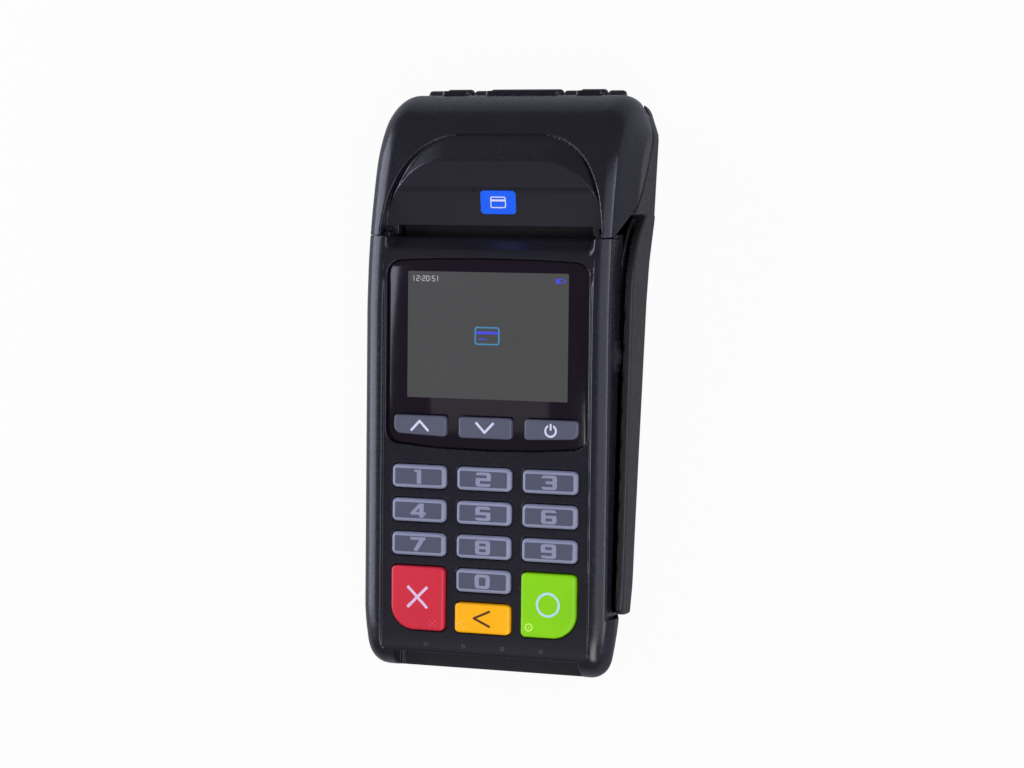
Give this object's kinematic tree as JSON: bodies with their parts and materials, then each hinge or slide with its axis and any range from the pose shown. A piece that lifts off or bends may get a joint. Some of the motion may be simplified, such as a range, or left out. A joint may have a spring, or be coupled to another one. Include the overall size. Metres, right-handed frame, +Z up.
{
  "type": "card payment terminal",
  "caption": "Handheld card payment terminal: wedge body, colour display, numeric keypad, chip slot, swipe rail and a hinged lid over a receipt printer.",
  "frame": {"origin": "on the table plane, under the middle of the terminal's overall box", "axes": "+X to the right as the user sees the keypad, +Y from the chip-card end to the printer end, +Z up; the feet stand on z = 0"},
  "size_m": [0.0788, 0.1735, 0.0458],
  "materials": {
    "case_plastic": "satin",
    "back_plastic": "satin",
    "lens_gloss": "polished",
    "lcd_glass": "satin",
    "key_slate": "satin",
    "nav_slate": "satin",
    "key_red": "satin",
    "key_amber": "satin",
    "key_green": "satin",
    "silicone": "matt",
    "pipe_clear": "clear",
    "board_green": "solder mask",
    "black_moulding": "matt",
    "head_steel": "polished",
    "spring_steel": "rolled",
    "head_ceramic": "ground",
    "frame_steel": "stamped",
    "platen_rubber": "matt",
    "gear_acetal": "satin",
    "pinion_brass": "machined",
    "motor_can": "plated",
    "thermal_paper": "smooth",
    "core_card": "raw",
    "battery_wrap": "shrink film",
    "foot_rubber": "matt",
    "screw_steel": "plated",
    "speaker_can": "satin",
    "port_steel": "plated"
  },
  "bodies": {
    "housing": {"front_case": "case_plastic", "back_case": "back_plastic", "hinge_pin": "screw_steel", "display_lens": "lens_gloss", "lcd_module": "lcd_glass", "keypad_membrane": "silicone", "light_pipes": "pipe_clear", "main_board": "board_green", "chip_card_reader": "black_moulding", "mag_head_spring": "spring_steel", "print_head": "head_ceramic", "printer_frame": "frame_steel", "stepper_motor": "motor_can", "paper_cradle": "black_moulding", "battery_pack": "battery_wrap", "rubber_feet": "foot_rubber", "case_screws": "screw_steel", "speaker": "speaker_can", "charge_port": "port_steel"},
    "lid": {"printer_lid": "case_plastic"},
    "platen": {"platen_roller": "platen_rubber", "platen_shaft": "screw_steel", "platen_gear": "gear_acetal"},
    "idler": {"idler_gear": "gear_acetal"},
    "pinion": {"motor_pinion": "pinion_brass"},
    "roll": {"paper_roll": "thermal_paper", "roll_core": "core_card"},
    "stripe_head": {"mag_head": "head_steel"},
    "battery_hatch": {"battery_door": "back_plastic"},
    "port_flap": {"port_cover": "foot_rubber"},
    "button_1": {"key_1": "key_slate"},
    "button_2": {"key_2": "key_slate"},
    "button_3": {"key_3": "key_slate"},
    "button_4": {"key_4": "key_slate"},
    "button_5": {"key_5": "key_slate"},
    "button_6": {"key_6": "key_slate"},
    "button_7": {"key_7": "key_slate"},
    "button_8": {"key_8": "key_slate"},
    "button_9": {"key_9": "key_slate"},
    "button_0": {"key_0": "key_slate"},
    "button_up": {"key_up": "nav_slate"},
    "button_down": {"key_down": "nav_slate"},
    "button_power": {"key_power": "nav_slate"},
    "button_cancel": {"key_cancel": "key_red"},
    "button_clear": {"key_clear": "key_amber"},
    "button_enter": {"key_enter": "key_green"}
  },
  "joints": [
    {"name": "lid_hinge", "type": "hinge", "parent": "housing", "child": "lid", "pos_m": [-0.0008, 0.08431, 0.017], "axis": [-1, 0, 0], "range_deg": [0, 80]},
    {"name": "platen_spin", "type": "hinge", "parent": "lid", "child": "platen", "pos_m": [-0.0008, 0.04299, 0.03165], "axis": [1, 0, 0], "continuous": true},
    {"name": "idler_spin", "type": "hinge", "parent": "housing", "child": "idler", "pos_m": [-0.0008, 0.03945, 0.02107], "axis": [1, 0, 0], "continuous": true},
    {"name": "pinion_spin", "type": "hinge", "parent": "housing", "child": "pinion", "pos_m": [-0.0008, 0.03274, 0.01772], "axis": [1, 0, 0], "continuous": true},
    {"name": "roll_spin", "type": "hinge", "parent": "housing", "child": "roll", "pos_m": [-0.0008, 0.06231, 0.0217], "axis": [1, 0, 0], "continuous": true},
    {"name": "stripe_head_slide", "type": "slide", "parent": "housing", "child": "stripe_head", "axis": [-1, 0, 0], "range_m": [0, 0.0008], "stiffness_N_per_m": 600},
    {"name": "battery_hatch_hinge", "type": "hinge", "parent": "housing", "child": "battery_hatch", "pos_m": [-0.0008, -0.01769, 0.0012], "axis": [1, 0, 0], "range_deg": [0, 75]},
    {"name": "port_flap_hinge", "type": "hinge", "parent": "housing", "child": "port_flap", "pos_m": [-0.0394, 0.01931, 0.0211], "axis": [0, -1, 0], "range_deg": [0, 110]},
    {"name": "press_1", "type": "slide", "parent": "housing", "child": "button_1", "axis": [0, 0.1564, -0.9877], "range_m": [0, 0.0007], "stiffness_N_per_m": 2500},
    {"name": "press_2", "type": "slide", "parent": "housing", "child": "button_2", "axis": [0, 0.1564, -0.9877], "range_m": [0, 0.0007], "stiffness_N_per_m": 2500},
    {"name": "press_3", "type": "slide", "parent": "housing", "child": "button_3", "axis": [0, 0.1564, -0.9877], "range_m": [0, 0.0007], "stiffness_N_per_m": 2500},
    {"name": "press_4", "type": "slide", "parent": "housing", "child": "button_4", "axis": [0, 0.1564, -0.9877], "range_m": [0, 0.0007], "stiffness_N_per_m": 2500},
    {"name": "press_5", "type": "slide", "parent": "housing", "child": "button_5", "axis": [0, 0.1564, -0.9877], "range_m": [0, 0.0007], "stiffness_N_per_m": 2500},
    {"name": "press_6", "type": "slide", "parent": "housing", "child": "button_6", "axis": [0, 0.1564, -0.9877], "range_m": [0, 0.0007], "stiffness_N_per_m": 2500},
    {"name": "press_7", "type": "slide", "parent": "housing", "child": "button_7", "axis": [0, 0.1564, -0.9877], "range_m": [0, 0.0007], "stiffness_N_per_m": 2500},
    {"name": "press_8", "type": "slide", "parent": "housing", "child": "button_8", "axis": [0, 0.1564, -0.9877], "range_m": [0, 0.0007], "stiffness_N_per_m": 2500},
    {"name": "press_9", "type": "slide", "parent": "housing", "child": "button_9", "axis": [0, 0.1564, -0.9877], "range_m": [0, 0.0007], "stiffness_N_per_m": 2500},
    {"name": "press_0", "type": "slide", "parent": "housing", "child": "button_0", "axis": [0, 0.1564, -0.9877], "range_m": [0, 0.0007], "stiffness_N_per_m": 2500},
    {"name": "press_up", "type": "slide", "parent": "housing", "child": "button_up", "axis": [0, 0.1564, -0.9877], "range_m": [0, 0.0007], "stiffness_N_per_m": 2500},
    {"name": "press_down", "type": "slide", "parent": "housing", "child": "button_down", "axis": [0, 0.1564, -0.9877], "range_m": [0, 0.0007], "stiffness_N_per_m": 2500},
    {"name": "press_power", "type": "slide", "parent": "housing", "child": "button_power", "axis": [0, 0.1564, -0.9877], "range_m": [0, 0.0007], "stiffness_N_per_m": 2500},
    {"name": "press_cancel", "type": "slide", "parent": "housing", "child": "button_cancel", "axis": [0, 0.1564, -0.9877], "range_m": [0, 0.0007], "stiffness_N_per_m": 2500},
    {"name": "press_clear", "type": "slide", "parent": "housing", "child": "button_clear", "axis": [0, 0.1564, -0.9877], "range_m": [0, 0.0007], "stiffness_N_per_m": 2500},
    {"name": "press_enter", "type": "slide", "parent": "housing", "child": "button_enter", "axis": [0, 0.1564, -0.9877], "range_m": [0, 0.0007], "stiffness_N_per_m": 2500}
  ],
  "couplings": [
    {"joint": "idler_spin", "follows": "platen_spin", "ratio": -1.4667},
    {"joint": "pinion_spin", "follows": "platen_spin", "ratio": 2.2}
  ]
}
